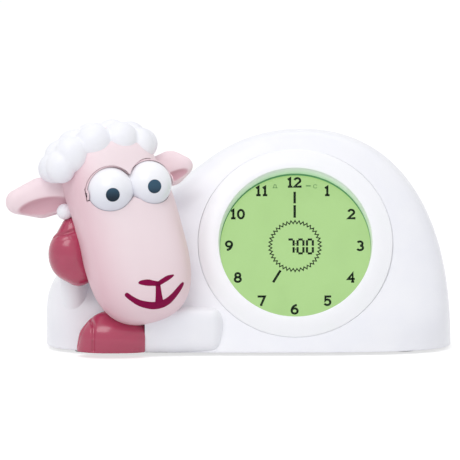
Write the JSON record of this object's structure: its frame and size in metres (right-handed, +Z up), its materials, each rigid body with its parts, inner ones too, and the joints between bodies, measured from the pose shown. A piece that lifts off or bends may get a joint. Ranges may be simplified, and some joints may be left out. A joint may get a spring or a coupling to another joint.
{
  "type": "kids alarm clock with night light",
  "caption": "Dome shaped night light and alarm clock for a child, with a round lit display and a lying sheep whose eyelids close.",
  "frame": {"origin": "on the table, under the middle of the clock seen from above, ears and hoof included", "axes": "+X to the right as seen from the front, +Y to the back, +Z up; the display looks to -Y and leans back"},
  "size_m": [0.2695, 0.126, 0.1441],
  "materials": {
    "shell_white": "satin moulded, slightly translucent",
    "panel_white": "fine texture",
    "rubber": "matte",
    "screw_steel": "zinc plated",
    "bezel_white": "satin",
    "lens_clear": "clear, polished",
    "display_green": "lit from behind",
    "guide_clear": "clear acrylic",
    "sheet_white": "matte sheet",
    "led_white": "clear over phosphor",
    "inner_white": "matte",
    "zebra_grey": "matte",
    "board_green": "solder mask",
    "chip_black": "matte",
    "frame_steel": "plain",
    "cone_black": "paper",
    "magnet_grey": "ferrite",
    "contact_steel": "nickel plated",
    "cell_wrap": "shrink sleeve",
    "button_dark_pink": "gloss",
    "button_pink": "gloss",
    "knob_black": "matte",
    "inlet_black": "matte",
    "face_pink": "satin moulded",
    "wool_white": "satin moulded",
    "ear_pink": "satin moulded",
    "eye_white": "gloss",
    "pupil_blue": "gloss",
    "axle_steel": "ground",
    "hoof_pink": "gloss"
  },
  "bodies": {
    "clock": {"front_shell": "shell_white", "rear_shell": "shell_white", "base_plate": "shell_white", "rubber_feet": "rubber", "shell_screws": "screw_steel", "base_screws": "screw_steel", "bezel_ring": "bezel_white", "clear_lens": "lens_clear", "lcd_panel": "display_green", "light_guide": "guide_clear", "reflector_sheet": "sheet_white", "backlight_leds": "led_white", "lcd_frame": "inner_white", "zebra_strips": "zebra_grey", "main_board": "board_green", "board_chips": "chip_black", "display_screws": "screw_steel", "rear_panel": "panel_white", "panel_screws": "screw_steel", "speaker_frame": "frame_steel", "speaker_cone": "cone_black", "speaker_magnet": "magnet_grey", "speaker_screws": "screw_steel", "battery_box": "inner_white", "battery_springs": "contact_steel", "battery_plates": "contact_steel", "battery_cells": "cell_wrap", "button_board": "board_green", "tact_switches": "chip_black", "switch_body": "frame_steel", "power_inlet": "inlet_black", "inlet_pin": "contact_steel", "night_board": "board_green", "night_leds": "led_white", "face_shell": "face_pink", "nape_shell": "shell_white", "wool_cap": "wool_white", "ear_left": "ear_pink", "ear_right": "ear_pink", "eyeballs": "eye_white", "pupils": "pupil_blue", "eyelid_motor": "frame_steel", "eye_bracket": "inner_white", "head_screws": "screw_steel", "neck_mount": "inner_white", "foreleg": "shell_white", "raised_arm": "shell_white", "cheek_hoof": "hoof_pink", "floor_hoof": "hoof_pink"},
    "eyelids": {"eyelids": "face_pink", "lid_axle": "axle_steel"},
    "battery_door": {"battery_door": "panel_white"},
    "door_screw": {"door_screw": "screw_steel"},
    "switch_knob": {"switch_knob": "knob_black"},
    "button_alarm": {"button_alarm": "button_dark_pink"},
    "button_light": {"button_light": "button_pink"},
    "button_clock": {"button_clock": "button_pink"},
    "button_minus": {"button_minus": "button_pink"},
    "button_plus": {"button_plus": "button_pink"}
  },
  "joints": [
    {"name": "eyelids_close", "type": "hinge", "parent": "clock", "child": "eyelids", "pos_m": [-0.05995, -0.0437, 0.10352], "axis": [0.9332, 0.3364, 0.1266], "range_deg": [0, 120]},
    {"name": "button_alarm_press", "type": "slide", "parent": "clock", "child": "button_alarm", "axis": [0, -0.986, -0.1668], "range_m": [0, 0.0006], "stiffness_N_per_m": 250},
    {"name": "button_light_press", "type": "slide", "parent": "clock", "child": "button_light", "axis": [0, -0.986, -0.1668], "range_m": [0, 0.0006], "stiffness_N_per_m": 250},
    {"name": "button_clock_press", "type": "slide", "parent": "clock", "child": "button_clock", "axis": [0, -0.986, -0.1668], "range_m": [0, 0.0006], "stiffness_N_per_m": 250},
    {"name": "button_minus_press", "type": "slide", "parent": "clock", "child": "button_minus", "axis": [0, -0.986, -0.1668], "range_m": [0, 0.0006], "stiffness_N_per_m": 250},
    {"name": "button_plus_press", "type": "slide", "parent": "clock", "child": "button_plus", "axis": [0, -0.986, -0.1668], "range_m": [0, 0.0006], "stiffness_N_per_m": 250},
    {"name": "switch_slide", "type": "slide", "parent": "clock", "child": "switch_knob", "axis": [-1, 0, 0], "range_m": [0, 0.003]},
    {"name": "door_off", "type": "slide", "parent": "clock", "child": "battery_door", "axis": [0, 0.986, 0.1668], "range_m": [0, 0.012]},
    {"name": "door_screw_turn", "type": "hinge", "parent": "battery_door", "child": "door_screw", "pos_m": [-0.0157, 0.05392, 0.0461], "axis": [0, 0.986, 0.1668], "continuous": true}
  ]
}
